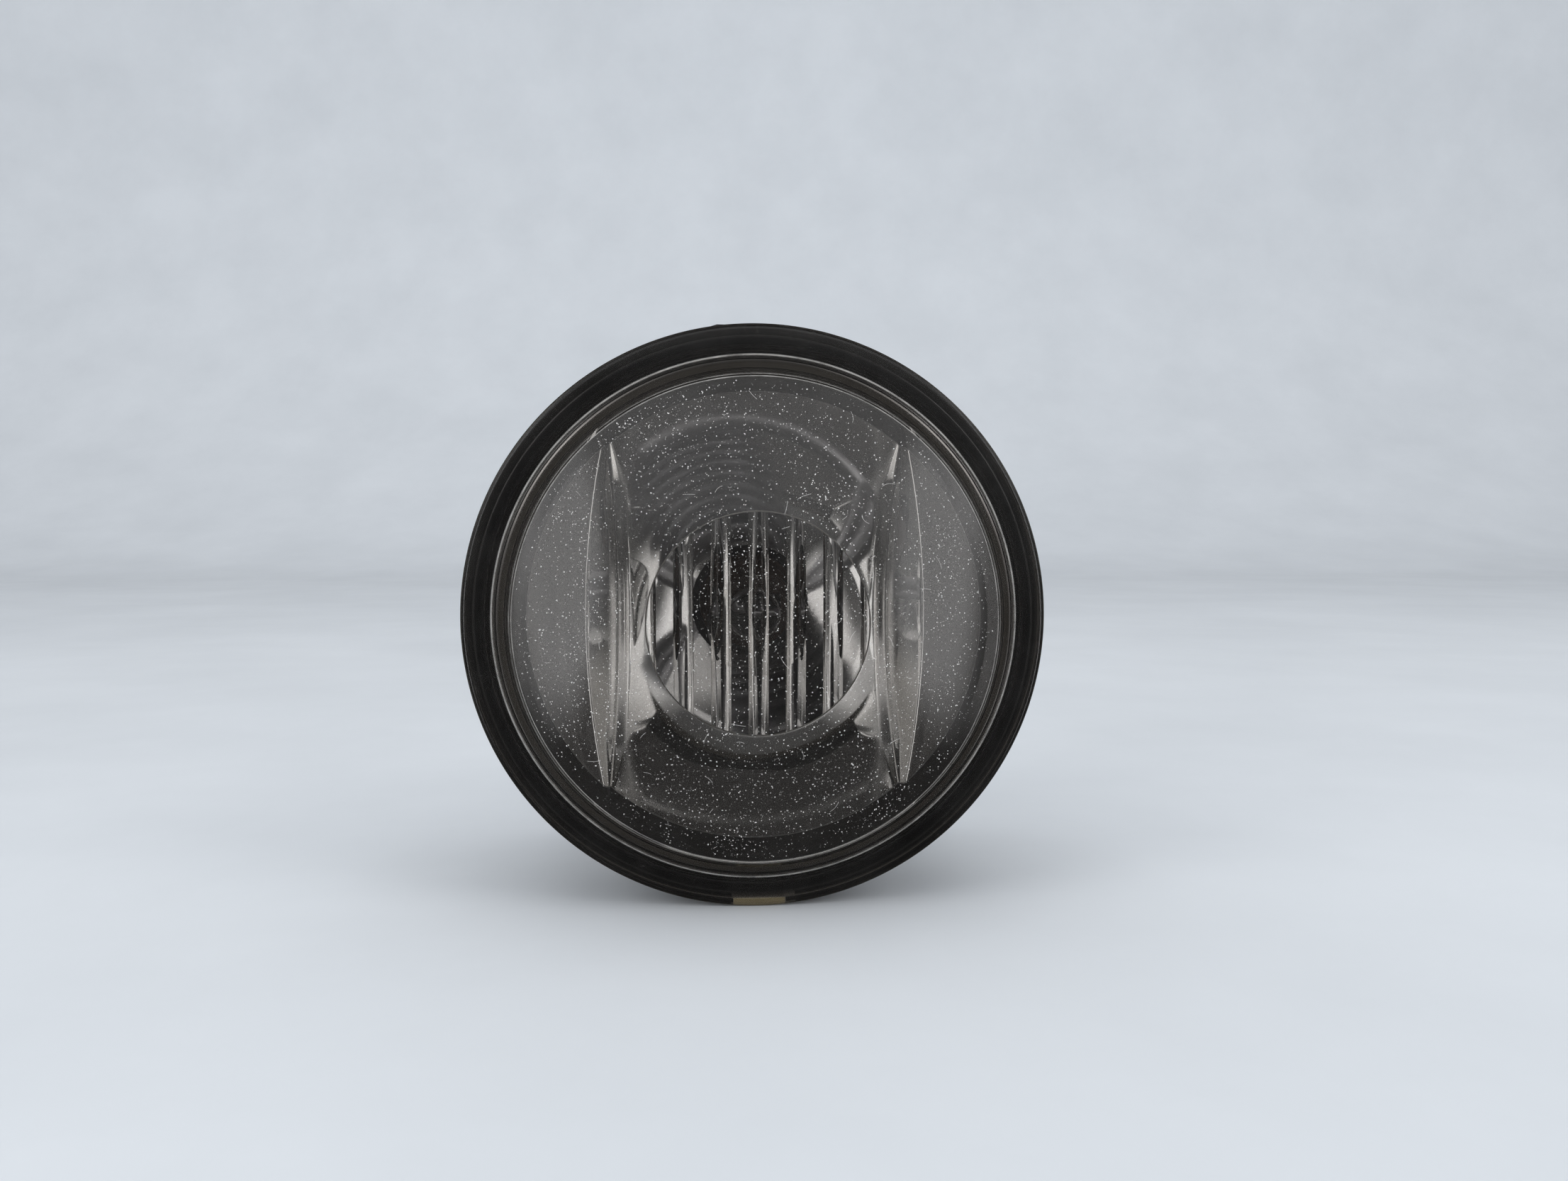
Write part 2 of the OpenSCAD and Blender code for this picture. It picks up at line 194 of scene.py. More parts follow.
def combine(obj, others, operation):
    for other in others:
        modifier = obj.modifiers.new("combine", "BOOLEAN")
        modifier.operation = operation
        modifier.solver = "EXACT"
        modifier.object = other
        apply_modifiers(obj)
        bpy.data.objects.remove(other)
    return obj


def cut(obj, *others):
    return combine(obj, others, "DIFFERENCE")


def add(obj, *others):
    return combine(obj, others, "UNION")


def common(obj, *others):
    return combine(obj, others, "INTERSECT")


def smooth(obj, angle=30):
    obj.data.shade_smooth()
    obj.data.set_sharp_from_angle(angle=math.radians(angle))
    return obj


def finish_piece(obj, node, body, material, angle=30):
    smooth(obj, angle)
    obj.data.materials.clear()
    obj.data.materials.append(material)
    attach(obj, body)
    if node:
        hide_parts(node)
    return obj


# ---------------------------------------------------------------- materials

class Nodes:
    """Short ways to add shader nodes to one material."""

    def __init__(self, name):
        self.material = bpy.data.materials.new(name)
        self.material.use_nodes = True
        self.tree = self.material.node_tree
        self.shader = self.tree.nodes["Principled BSDF"]
        self.output = self.tree.nodes["Material Output"]
        self.coord = self.tree.nodes.new("ShaderNodeTexCoord").outputs["Object"]

    def set(self, **values):
        for key, value in values.items():
            self.shader.inputs[key.replace("_", " ")].default_value = value
        return self

    def link(self, output, socket):
        self.tree.links.new(output, self.shader.inputs[socket] if isinstance(socket, str) else socket)

    def noise(self, scale, detail=4, rough=0.5, stretch=(1, 1, 1), distortion=0.0):
        mapping = self.tree.nodes.new("ShaderNodeMapping")
        mapping.inputs["Scale"].default_value = stretch
        self.tree.links.new(self.coord, mapping.inputs["Vector"])
        node = self.tree.nodes.new("ShaderNodeTexNoise")
        node.inputs["Scale"].default_value = scale
        node.inputs["Detail"].default_value = detail
        node.inputs["Roughness"].default_value = rough
        node.inputs["Distortion"].default_value = distortion
        self.tree.links.new(mapping.outputs["Vector"], node.inputs["Vector"])
        return node.outputs["Fac"]

    def ramp(self, fac, stops, interpolation="LINEAR"):
        node = self.tree.nodes.new("ShaderNodeValToRGB")
        node.color_ramp.interpolation = interpolation
        elements = node.color_ramp.elements
        while len(elements) < len(stops):
            elements.new(0.5)
        for element, (position, colour) in zip(elements, stops):
            element.position = position
            if isinstance(colour, (int, float)):
                colour = (colour, colour, colour)
            element.color = (*colour[:3], 1)
        self.tree.links.new(fac, node.inputs["Fac"])
        return node.outputs["Color"]

    def math(self, operation, a, b=0.0, clamp=False):
        node = self.tree.nodes.new("ShaderNodeMath")
        node.operation = operation
        node.use_clamp = clamp
        for value, socket in ((a, node.inputs[0]), (b, node.inputs[1])):
            if isinstance(value, (int, float)):
                socket.default_value = value
            else:
                self.tree.links.new(value, socket)
        return node.outputs[0]

    def mix(self, fac, a, b):
        node = self.tree.nodes.new("ShaderNodeMix")
        node.data_type = "RGBA"
        factor = [s for s in node.inputs if s.name == "Factor" and s.type == "VALUE"][0]
        if isinstance(fac, (int, float)):
            factor.default_value = fac
        else:
            self.tree.links.new(fac, factor)
        for key, value in (("A", a), ("B", b)):
            socket = [s for s in node.inputs if s.name == key and s.type == "RGBA"][0]
            if isinstance(value, tuple):
                socket.default_value = (*value[:3], 1)
            else:
                self.tree.links.new(value, socket)
        return [s for s in node.outputs if s.type == "RGBA"][0]

    def bump(self, height, strength=0.2, distance=0.05):
        node = self.tree.nodes.new("ShaderNodeBump")
        node.inputs["Strength"].default_value = strength
        node.inputs["Distance"].default_value = distance * MM
        self.tree.links.new(height, node.inputs["Height"])
        self.link(node.outputs["Normal"], "Normal")
        return self


def plastic(name, dark, light, rough=(0.35, 0.55), grain=1800, bump=0.15, dust=0.0):
    """Moulded plastic or rubber with a fine grain, uneven gloss and some dust."""
    m = Nodes(name)
    tone = m.noise(60, 5, 0.6)
    colour = m.ramp(tone, [(0.3, dark), (0.7, light)])
    if dust:
        specks = m.ramp(m.noise(900, 3, 0.7), [(0.62, 0.0), (0.78, 1.0)])
        colour = m.mix(m.math("MULTIPLY", specks, dust), colour, (0.42, 0.40, 0.37))
    m.link(colour, "Base Color")
    m.link(m.ramp(m.noise(140, 4, 0.6), [(0.3, rough[0]), (0.7, rough[1])]), "Roughness")
    m.bump(m.noise(grain, 4, 0.6), bump, 0.06)
    return m.material


def metal(name, dark, light, rough=(0.25, 0.45), brush=(1, 1, 1), bump=0.1, stains=None):
    """Plated or drawn metal with fine brushing and uneven tarnish."""
    m = Nodes(name)
    m.set(Metallic=1.0)
    colour = m.ramp(m.noise(45, 6, 0.62), [(0.3, dark), (0.72, light)])
    if stains:
        patches = m.ramp(m.noise(70, 8, 0.7, distortion=0.6), [(0.58, 0.0), (0.7, 1.0)])
        colour = m.mix(m.math("MULTIPLY", patches, 0.55), colour, stains)
    m.link(colour, "Base Color")
    m.link(m.ramp(m.noise(180, 5, 0.65, brush), [(0.25, rough[0]), (0.75, rough[1])]), "Roughness")
    m.bump(m.noise(700, 5, 0.6, brush), bump, 0.04)
    return m.material


def lens_material():
    """Clear moulded lens with a smoky tint in its depth, a film of dust, specks and hairline scratches."""
    m = Nodes("lens_glass")
    m.set(Transmission_Weight=1.0, IOR=1.53, Roughness=0.0, Specular_IOR_Level=0.08)
    geometry = m.tree.nodes.new("ShaderNodeNewGeometry")
    normal = m.tree.nodes.new("ShaderNodeSeparateXYZ")
    m.tree.links.new(geometry.outputs["Normal"], normal.inputs[0])
    facing = m.math("MULTIPLY", normal.outputs["Y"], -1.0)
    outside = m.math("MULTIPLY", m.math("SUBTRACT", facing, 0.15), 6.0, True)

    film = m.ramp(m.noise(90, 6, 0.7, distortion=0.5), [(0.35, 0.004), (0.75, 0.02)])
    hairs = m.ramp(m.noise(330, 1, 0.3, (1, 1, 1), 3.5), [(0.4975, 0.0), (0.5, 1.0), (0.5025, 0.0)])
    hair_patches = m.ramp(m.noise(75, 2, 0.5), [(0.6, 0.0), (0.66, 1.0)])
    dust = m.math("MAXIMUM", m.math("MULTIPLY", m.math("MULTIPLY", hairs, hair_patches), 0.3), film)
    place = m.tree.nodes.new("ShaderNodeSeparateXYZ")
    m.tree.links.new(m.coord, place.inputs[0])
    x, z = place.outputs["X"], place.outputs["Z"]
    radius = m.math("SQRT", m.math("ADD", m.math("MULTIPLY", x, x), m.math("MULTIPLY", z, z)))
    glint_line_tone = m.ramp(m.noise(260, 4, 0.7), [(0.3, 0.35), (0.7, 1.0)])
    # painted shade: the flange and skirt are tinted by radius over 50 mm into a black band, a clear line
    # and a smoky-looking edge; the tint stands in for the darkness seen through the rim
    clear, black, painted_smoke_shade = (0.96, 0.958, 0.95), (0.045, 0.045, 0.048), (0.62, 0.60, 0.57)
    painted_shade_bands = [
        (0.0, clear), (0.802, clear), (0.812, (0.66, 0.65, 0.64)), (0.836, (0.58, 0.57, 0.56)),
        (0.843, black), (0.862, black), (0.868, (0.75, 0.74, 0.73)), (0.878, painted_smoke_shade), (1.0, painted_smoke_shade),
    ]
    m.link(m.ramp(m.math("MULTIPLY", radius, 20.0), painted_shade_bands), "Base Color")

    def line(at, half, level):
        """A pale line at radius at: a painted glint on a round corner, partly dirt that has settled there.
        """
        near = m.math("SUBTRACT", half, m.math("ABSOLUTE", m.math("SUBTRACT", radius, at)))
        inside_line = m.math("MULTIPLY", near, 1.6 / half, True)
        return m.math("MULTIPLY", inside_line, m.math("MULTIPLY", glint_line_tone, level))

    # painted glints: pale lines at the foot of the shoulder and at the dome's edge stand in for light
    # glinting on these corners; partly settled dirt
    corner = line(FOOT_R * MM, 0.00020, 0.62)
    for at, half, level in ((DOME_EDGE_R * MM, 0.00012, 0.55), ((DOME_EDGE_R + 0.42) * MM, 0.0001, 0.4)):
        corner = m.math("MAXIMUM", corner, line(at, half, level))
    dust = m.math("MULTIPLY", m.math("MAXIMUM", dust, corner), outside, True)
    inside = m.math("SUBTRACT", 1.0, outside)
    # a painted glint: a pale line at the fluted disc's edge, seen inside, partly settled dirt
    dust = m.math("MAXIMUM", dust, m.math("MULTIPLY", line(DISC_R * MM, 0.00011, 0.75), inside))
    # the moulding gate leaves a tan mark at the bottom of the rim
    aside = m.math("ABSOLUTE", m.math("SUBTRACT", x, GATE_X * MM))
    gate = m.math("MULTIPLY", m.math("SUBTRACT", GATE_HALF * MM, aside), 8000.0, True)
    below = m.math("MULTIPLY", m.math("SUBTRACT", GATE_TOP_Y * MM, z), 5000.0, True)
    gate = m.math("MULTIPLY", gate, below)
    dust = m.math("MAXIMUM", dust, m.math("MULTIPLY", gate, 0.30))

    # the powder shows the dust, the gate mark and the painted glint lines
    powder = m.tree.nodes.new("ShaderNodeBsdfDiffuse")
    m.tree.links.new(m.mix(gate, (0.62, 0.60, 0.57), (0.40, 0.33, 0.20)), powder.inputs["Color"])
    mixer = m.tree.nodes.new("ShaderNodeMixShader")
    m.tree.links.new(dust, mixer.inputs[0])
    m.tree.links.new(m.shader.outputs[0], mixer.inputs[1])
    m.tree.links.new(powder.outputs[0], mixer.inputs[2])
    m.tree.links.new(mixer.outputs[0], m.output.inputs["Surface"])
    depth = m.tree.nodes.new("ShaderNodeVolumeAbsorption")
    depth.inputs["Color"].default_value = (0.50, 0.475, 0.455, 1)
    depth.inputs["Density"].default_value = 190.0
    m.tree.links.new(depth.outputs[0], m.output.inputs["Volume"])
    m.bump(m.noise(120, 3, 0.5), 0.03, 0.05)
    return m.material


def mirror_material():
    """Vacuum-aluminised plastic: a bright mirror with faint haze and drawn lines along the walls; a band at
    its rim is painted shade, dark and not metallic, standing in for the dark reflection of the aluminised
    rim."""
    m = Nodes("mirror_aluminium")
    m.set(Metallic=1.0)
    place = m.tree.nodes.new("ShaderNodeSeparateXYZ")
    m.tree.links.new(m.coord, place.inputs[0])
    x, z = place.outputs["X"], place.outputs["Z"]
    radius = m.math("SQRT", m.math("ADD", m.math("MULTIPLY", x, x), m.math("MULTIPLY", z, z)))
    # painted shade: between these radii the mirror is dark and not metallic, standing in for the dark
    # reflection there
    painted_dark_rim = m.math("MULTIPLY", m.math("SUBTRACT", radius, DARK_RIM_FROM_R * MM), 5000.0, True)
    before_rim = m.math("MULTIPLY", m.math("SUBTRACT", DARK_RIM_TO_R * MM, radius), 10000.0, True)
    painted_dark_rim = m.math("MULTIPLY", painted_dark_rim, before_rim)
    away = m.math("ABSOLUTE", x)
    wall = m.math("MULTIPLY", m.math("SUBTRACT", away, 0.0195), 700.0, True)
    flat = m.math("MULTIPLY", m.math("SUBTRACT", away, 0.0262), 4000.0, True)
    wall = m.math("MULTIPLY", wall, m.math("SUBTRACT", 1.0, flat))
    colour = m.ramp(m.noise(50, 6, 0.6), [(0.3, (0.74, 0.73, 0.715)), (0.7, (0.86, 0.86, 0.855))])
    m.link(m.mix(painted_dark_rim, colour, (0.030, 0.026, 0.024)), "Base Color")
    m.link(m.math("SUBTRACT", 1.0, painted_dark_rim), "Metallic")
    # the fillets at the feet of the walls are satin: |x| of the strip falls with the square of the height
    strip = m.math("SUBTRACT", 0.0228, m.math("MULTIPLY", m.math("MULTIPLY", z, z), 4.6))
    off = m.math("SUBTRACT", away, strip)
    satin = m.math("SUBTRACT", 1.0, m.math("MULTIPLY", m.math("ABSOLUTE", off), 620.0), True)
    haze = m.ramp(m.noise(110, 5, 0.6), [(0.3, 0.02), (0.8, 0.06)])
    rough = m.math("ADD", haze, m.math("MULTIPLY", painted_dark_rim, 0.45))
    m.link(m.math("ADD", rough, m.math("MULTIPLY", satin, 0.16)), "Roughness")
    drawn = m.noise(1500, 3, 0.6, (1, 0.05, 0.012))
    waves = m.noise(95, 3, 0.5)
    lines = m.math("MULTIPLY", m.math("MULTIPLY", drawn, wall), 0.5)
    m.bump(m.math("ADD", lines, m.math("MULTIPLY", waves, 0.6)), 0.10, 0.08)
    return m.material


def quartz_material():
    m = Nodes("bulb_quartz")
    m.set(Transmission_Weight=1.0, IOR=1.2)
    colour = m.ramp(m.noise(90, 4, 0.6), [(0.3, (0.93, 0.94, 0.95)), (0.8, (0.98, 0.98, 0.98))])
    m.link(colour, "Base Color")
    m.link(m.ramp(m.noise(150, 4, 0.6), [(0.4, 0.0), (0.8, 0.05)]), "Roughness")
    m.bump(m.noise(220, 2, 0.5), 0.04, 0.03)
    return m.material


def floor_material():
    m = Nodes("floor")
    colour = m.ramp(m.noise(9, 6, 0.6), [(0.3, (0.71, 0.735, 0.76)), (0.7, (0.77, 0.795, 0.82))])
    m.link(colour, "Base Color")
    m.set(Roughness=0.6)
    m.bump(m.noise(220, 4, 0.6), 0.08, 0.2)
    return m.material


LENS = lens_material()
MIRROR = mirror_material()
DUST = plastic("dust_grains", (0.55, 0.54, 0.52), (0.80, 0.78, 0.75), (0.8, 1.0), 3000, 0.3)
QUARTZ = quartz_material()
BLACK = plastic(
    "housing_black", (0.012, 0.0115, 0.011), (0.028, 0.026, 0.025),
    (0.38, 0.6), 2200, 0.2, 0.25,
)
RUBBER = plastic(
    "vent_rubber", (0.010, 0.010, 0.010), (0.026, 0.025, 0.024),
    (0.55, 0.8), 1500, 0.25, 0.2,
)
SEALANT = plastic(
    "sealant_black", (0.008, 0.008, 0.008), (0.02, 0.019, 0.018),
    (0.3, 0.6), 600, 0.5,
)
ACETAL = plastic("acetal", (0.62, 0.60, 0.54), (0.74, 0.72, 0.66), (0.3, 0.45), 1500, 0.08, 0.15)
NYLON = plastic("nut_nylon", (0.66, 0.65, 0.60), (0.78, 0.77, 0.72), (0.35, 0.5), 1500, 0.1, 0.15)
BASE = plastic(
    "bulb_base_nylon", (0.030, 0.030, 0.033), (0.055, 0.055, 0.060),
    (0.35, 0.55), 2600, 0.25, 0.2,
)
SILICONE = plastic("seal_silicone", (0.38, 0.09, 0.03), (0.50, 0.14, 0.05), (0.45, 0.6), 1500, 0.1)
FELT = plastic("filter_felt", (0.20, 0.20, 0.18), (0.34, 0.33, 0.30), (0.85, 1.0), 2800, 0.8)
ZINC = metal(
    "bracket_zinc", (0.40, 0.40, 0.39), (0.62, 0.62, 0.60),
    (0.32, 0.5), (1, 1, 12), 0.12, (0.30, 0.28, 0.25),
)
PLATE = metal("pin_zinc", (0.45, 0.44, 0.41), (0.68, 0.67, 0.64), (0.22, 0.4), (1, 1, 1), 0.08)
YELLOW = metal(
    "screw_yellow_zinc", (0.48, 0.38, 0.16), (0.66, 0.58, 0.32),
    (0.22, 0.42), (1, 14, 1), 0.12, (0.42, 0.30, 0.22),
)
COLLAR = metal(
    "collar_phosphated", (0.055, 0.043, 0.038), (0.12, 0.092, 0.082),
    (0.35, 0.55), (1, 10, 1), 0.1,
)
TUNGSTEN = metal("tungsten", (0.18, 0.18, 0.19), (0.36, 0.36, 0.38), (0.3, 0.5), (1, 20, 1), 0.3)
WIRE = metal("lead_wire", (0.36, 0.36, 0.37), (0.58, 0.58, 0.60), (0.25, 0.4), (1, 10, 1), 0.1)
TIN = metal("blade_tin", (0.50, 0.46, 0.34), (0.70, 0.66, 0.54), (0.2, 0.4), (1, 10, 1), 0.1)


# ---------------------------------------------------------------- lens

rise = DOME_H - SHOULDER_H
DOME_R = (DOME_EDGE_R ** 2 + rise ** 2) / (2 * rise)
DOME_C = APEX_Z - DOME_R
PAD_Z = DOME_C + math.sqrt((DOME_R - WALL) ** 2 - DISC_R ** 2) - 0.5
SAG = FLUTE_R - math.sqrt(FLUTE_R ** 2 - (FLUTE_W / 2) ** 2)


def dome_z(r, depth):
    return DOME_C + math.sqrt((DOME_R - depth) ** 2 - r * r)


def dome_arc(r0, r1, depth, steps=40):
    radii = [r0 + (r1 - r0) * k / steps for k in range(steps + 1)]
    return [(r, dome_z(r, depth)) for r in radii]


def make_lens():
    outer = dome_arc(0, DOME_EDGE_R - 0.4, 0)
    corner = [
        (DOME_EDGE_R, FLANGE_Z + SHOULDER_H), (FOOT_R, FLANGE_Z), (LENS_R, FLANGE_Z),
        (LENS_R, SKIRT_END_Z), (LENS_R - SKIRT_WALL, SKIRT_END_Z), (LENS_R - SKIRT_WALL, FLANGE_Z - WALL),
        (FOOT_R + RIB_WALL, FLANGE_Z - WALL), (FOOT_R + RIB_WALL, FLANGE_Z - WALL - RIB_DEPTH),
        (FOOT_R, FLANGE_Z - WALL - RIB_DEPTH), (FOOT_R, FLANGE_Z - WALL), (FOOT_R - 1.3, FLANGE_Z - WALL),
    ]
    radii = [0.25, 0.45, 0.9, 0.3, 0.3, 0.5, 0.3, 0.3, 0.3, 0.3, 0.5]
    inner_edge_r = DOME_EDGE_R + 0.2
    loop = [outer[-1]] + corner + [(inner_edge_r, dome_z(inner_edge_r, WALL))]
    loop_radii = [0] + radii + [0.3]
    inner = dome_arc(inner_edge_r - 0.4, 0, WALL)
    closed = rounded(loop + [inner[0]], loop_radii + [0], 7)
    profile = outer[:-1] + closed[:-1] + inner
    lens = lathe("lens", profile, 320)
    # the fluted disc: a wavy block trimmed to a circle
    wave = []
    pitch = FLUTE_W + FLUTE_GAP
    arc_steps = 16
    for i in range(-3, 4):
        for k in range(arc_steps + 1):
            dx = (k / arc_steps - 0.5) * FLUTE_W
            wave.append((i * pitch + dx, PAD_Z - math.sqrt(FLUTE_R ** 2 - dx * dx) + FLUTE_R - SAG))
    top_z = PAD_Z + 1.6
    outline = wave + [(wave[-1][0], top_z), (wave[0][0], top_z)]
    block = prism("flutes", outline, -DISC_R - 2, DISC_R + 2, lambda p: (p[0], p[2], p[1]))
    plug = lathe("plug", [(0, PAD_Z - 2), (DISC_R, PAD_Z - 2), (DISC_R, PAD_Z + 3), (0, PAD_Z + 3)], 320)
    common(block, plug)
    add(lens, block)
    return finish_piece(lens, "lens", "lamp_body", LENS, 25)


lens = make_lens()


def make_dust(host):
    """Settled grains and fibres on the dome, joined to the lens."""
    rng = np.random.RandomState(11)
    reach, spot_count, grain_count, fibre_count = 36, 46, 8200, 34
    spots = []
    for _ in range(spot_count):
        spots.append((reach * math.sqrt(rng.rand()), 2 * math.pi * rng.rand(), 1.5 + 3.5 * rng.rand()))
    verts, faces = [], []

    def grain(x, y, size, length, turn):
        r = math.hypot(x, y)
        if r > DOME_EDGE_R - 0.6:
            return
        base = len(verts)
        for k in range(6):
            a = math.pi * k / 3
            u, v = size * length * math.cos(a), size * math.sin(a)
            px = x + u * math.cos(turn) - v * math.sin(turn)
            py = y + u * math.sin(turn) + v * math.cos(turn)
            verts.append((px, py, min(dome_z(math.hypot(px, py), 0) + 0.006, APEX_Z - 0.001)))
        top = dome_z(r, 0)
        verts.append((x, y, min(top + 0.35 * size, APEX_Z - 0.002)))
        verts.append((x, y, top - 0.02))
        for k in range(6):
            n = (k + 1) % 6
            faces.append([base + k, base + n, base + 6])
            faces.append([base + n, base + k, base + 7])

    for _ in range(grain_count):
        if rng.rand() < 0.75:
            r, a = reach * math.sqrt(rng.rand()), 2 * math.pi * rng.rand()
            x, y = r * math.cos(a), r * math.sin(a)
        else:
            r, a, spread = spots[rng.randint(len(spots))]
            x, y = r * math.cos(a) + spread * rng.randn(), r * math.sin(a) + spread * rng.randn()
        grain(x, y, 0.030 + 0.070 * rng.rand() ** 3, 1 + 0.7 * rng.rand() ** 2, math.pi * rng.rand())
    for _ in range(fibre_count):
        r, a = 34 * math.sqrt(rng.rand()), 2 * math.pi * rng.rand()
        x, y, turn, bend = r * math.cos(a), r * math.sin(a), 2 * math.pi * rng.rand(), 0.5 * rng.randn()
        for _ in range(3 + rng.randint(5)):
            grain(x, y, 0.022, 8, turn)
            x, y, turn = x + 0.3 * math.cos(turn), y + 0.3 * math.sin(turn), turn + 0.25 * bend
    # a pale bead in the corner at the foot of the fluted disc, in the dust material: partly settled dust,
    # partly a painted glint along the disc's edge
    steps, ring, bead = 256, 6, 0.11
    first = len(verts)
    for k in range(steps):
        a = 2 * math.pi * k / steps
        for q in range(ring):
            b = 2 * math.pi * q / ring
            r = DISC_R + 0.03 + bead * math.cos(b)
            verts.append((r * math.cos(a), r * math.sin(a), PAD_Z + 0.25 + bead * math.sin(b)))
    for k in range(steps):
        for q in range(ring):
            here, after = first + k * ring, first + (k + 1) % steps * ring
            m = (q + 1) % ring
            faces.append([here + q, after + q, after + m, here + m])
    dust = make("dust", verts, faces)
    dust.data.materials.append(host.data.materials[0])
    dust.data.materials.append(DUST)
    for polygon in dust.data.polygons:
        polygon.material_index = 1
    bpy.ops.object.select_all(action="DESELECT")
    dust.select_set(True)
    host.select_set(True)
    bpy.context.view_layer.objects.active = host
    bpy.ops.object.join()


make_dust(lens)


# ---------------------------------------------------------------- reflector

FOCAL = 13.0
BOWL_R = 36.6
SHELF_Z = 47.4
SHELF_R = 39.6
VERTEX_Z = SHELF_Z - BOWL_R ** 2 / (4 * FOCAL)
BULB_HOLE_R = 8.5
SHEET = 1.2
BEAD_R = 39.3
BEAD_Z = 47.18
BEAD = 0.3
WALL_X = 25.8
WALL_CURVE = 130.0
DRAFT = math.tan(math.radians(11.5))
LEDGE_SLOPE = math.tan(math.radians(11))


def wall_x(y):
    return WALL_X - (WALL_CURVE - math.sqrt(WALL_CURVE ** 2 - y * y))


def bowl_z(x, y):
    return VERTEX_Z + (x * x + y * y) / (4 * FOCAL)


def bezier(a, b, c, steps):
    """Points after a along the curve from a to c that leaves towards b."""
    out = []
    for k in range(1, steps + 1):
        t = k / steps
        out.append(tuple((1 - t) ** 2 * a[i] + 2 * t * (1 - t) * b[i] + t * t * c[i] for i in (0, 1)))
    return out


def section(y):
    """The reflector's front section at height y, from the middle out, as (x, z). A narrow ledge lies at the
    foot of each wall."""
    shelf_x = math.sqrt(max(SHELF_R ** 2 - y * y, 0.0))
    rim_x = math.sqrt(max(BOWL_R ** 2 - y * y, 0.0))
    edge = min(wall_x(y), rim_x)
    foot = edge
    for _ in range(40):
        foot = edge - DRAFT * max(SHELF_Z - bowl_z(foot, y), 0.0)
    height = max(SHELF_Z - bowl_z(foot, y), 0.0)
    ledge = min(1.7, 0.22 * height)
    inner = foot - ledge
    inner_z = min(bowl_z(inner, y), SHELF_Z)
    foot_z = min(inner_z + ledge * LEDGE_SLOPE, SHELF_Z)
    soft = ledge * 0.3
    top = min(0.45, 0.2 * height)
    start = max(inner - soft, 0.0)
    points = [(start * k / 44, min(bowl_z(start * k / 44, y), SHELF_Z)) for k in range(45)]
    points += bezier(points[-1], (inner, inner_z), (inner + soft, inner_z + soft * LEDGE_SLOPE), 5)
    blend = min(0.5, 0.2 * height)
    middle = (inner + 0.5 * ledge, inner_z + 0.5 * ledge * LEDGE_SLOPE)
    outer = (foot - 0.6 * blend, foot_z - 0.6 * blend * LEDGE_SLOPE)
    points += bezier(points[-1], middle, outer, 4)
    points += bezier(points[-1], (foot, foot_z), (foot + DRAFT * blend, foot_z + blend), 5)
    low_x, low_z = points[-1]
    high_x, high_z = edge - DRAFT * top, SHELF_Z - top
    for k in range(1, 9):
        t = k / 8
        points.append((low_x + (high_x - low_x) * t, low_z + (high_z - low_z) * t))
    points += bezier(points[-1], (edge, SHELF_Z), (edge + top, SHELF_Z), 5)
    last = points[-1][0]
    points += [(last + (shelf_x - last) * k / 14, SHELF_Z) for k in range(1, 15)]
    return points


def make_reflector():
    rows = []
    n = 150
    for j in range(n + 1):
        y = -SHELF_R * math.cos(math.pi * j / n) * 0.9999
        right = section(y)
        rows.append([(-x, y, z) for x, z in reversed(right[1:])] + [(x, y, z) for x, z in right])
    verts = [p for row in rows for p in row]
    width = len(rows[0])
    faces = []
    for j in range(n):
        for i in range(width - 1):
            a = j * width + i
            faces.append([a, a + 1, a + width + 1, a + width])
    front = make("reflector", verts, faces)
    # normals of an open sheet: point them at the lens
    bm = bmesh.new()
    bm.from_mesh(front.data)
    bm.faces.ensure_lookup_table()
    total = sum((f.normal * f.calc_area() for f in bm.faces), Vector())
    if total.y > 0:
        bmesh.ops.reverse_faces(bm, faces=bm.faces)
    bm.to_mesh(front.data)
    bm.free()
    modifier = front.modifiers.new("thick", "SOLIDIFY")
    modifier.thickness = SHEET * MM
    modifier.offset = -1.0
    apply_modifiers(front)
    hole = lathe("hole", [(0, 10), (BULB_HOLE_R, 10), (BULB_HOLE_R, 40), (0, 40)], 192)
    cut(front, hole)
    turns = [math.pi * k / 8 for k in range(16)]
    edge = lathe("edge", [(BEAD_R + BEAD * math.cos(a), BEAD_Z + BEAD * math.sin(a)) for a in turns], 256)
    bpy.ops.object.select_all(action="DESELECT")
    edge.select_set(True)
    front.select_set(True)
    bpy.context.view_layer.objects.active = front
    bpy.ops.object.join()
    return finish_piece(front, "reflector", "lamp_body", MIRROR, 40)


make_reflector()

# ---------------------------------------------------------------- bulb

def curve(points, steps=6):
    """A smooth line through points (Catmull-Rom)."""
    out = []
    n = len(points)
    for i in range(n - 1):
        a, b, c, d = points[max(i - 1, 0)], points[i], points[i + 1], points[min(i + 2, n - 1)]
        for k in range(steps):
            t = k / steps
            out.append(tuple(
                0.5 * (2 * b[m] + (c[m] - a[m]) * t + (2 * a[m] - 5 * b[m] + 4 * c[m] - d[m]) * t * t
                       + (3 * b[m] - a[m] - 3 * c[m] + d[m]) * t ** 3) for m in (0, 1)))
    out.append(tuple(points[-1]))
    return out


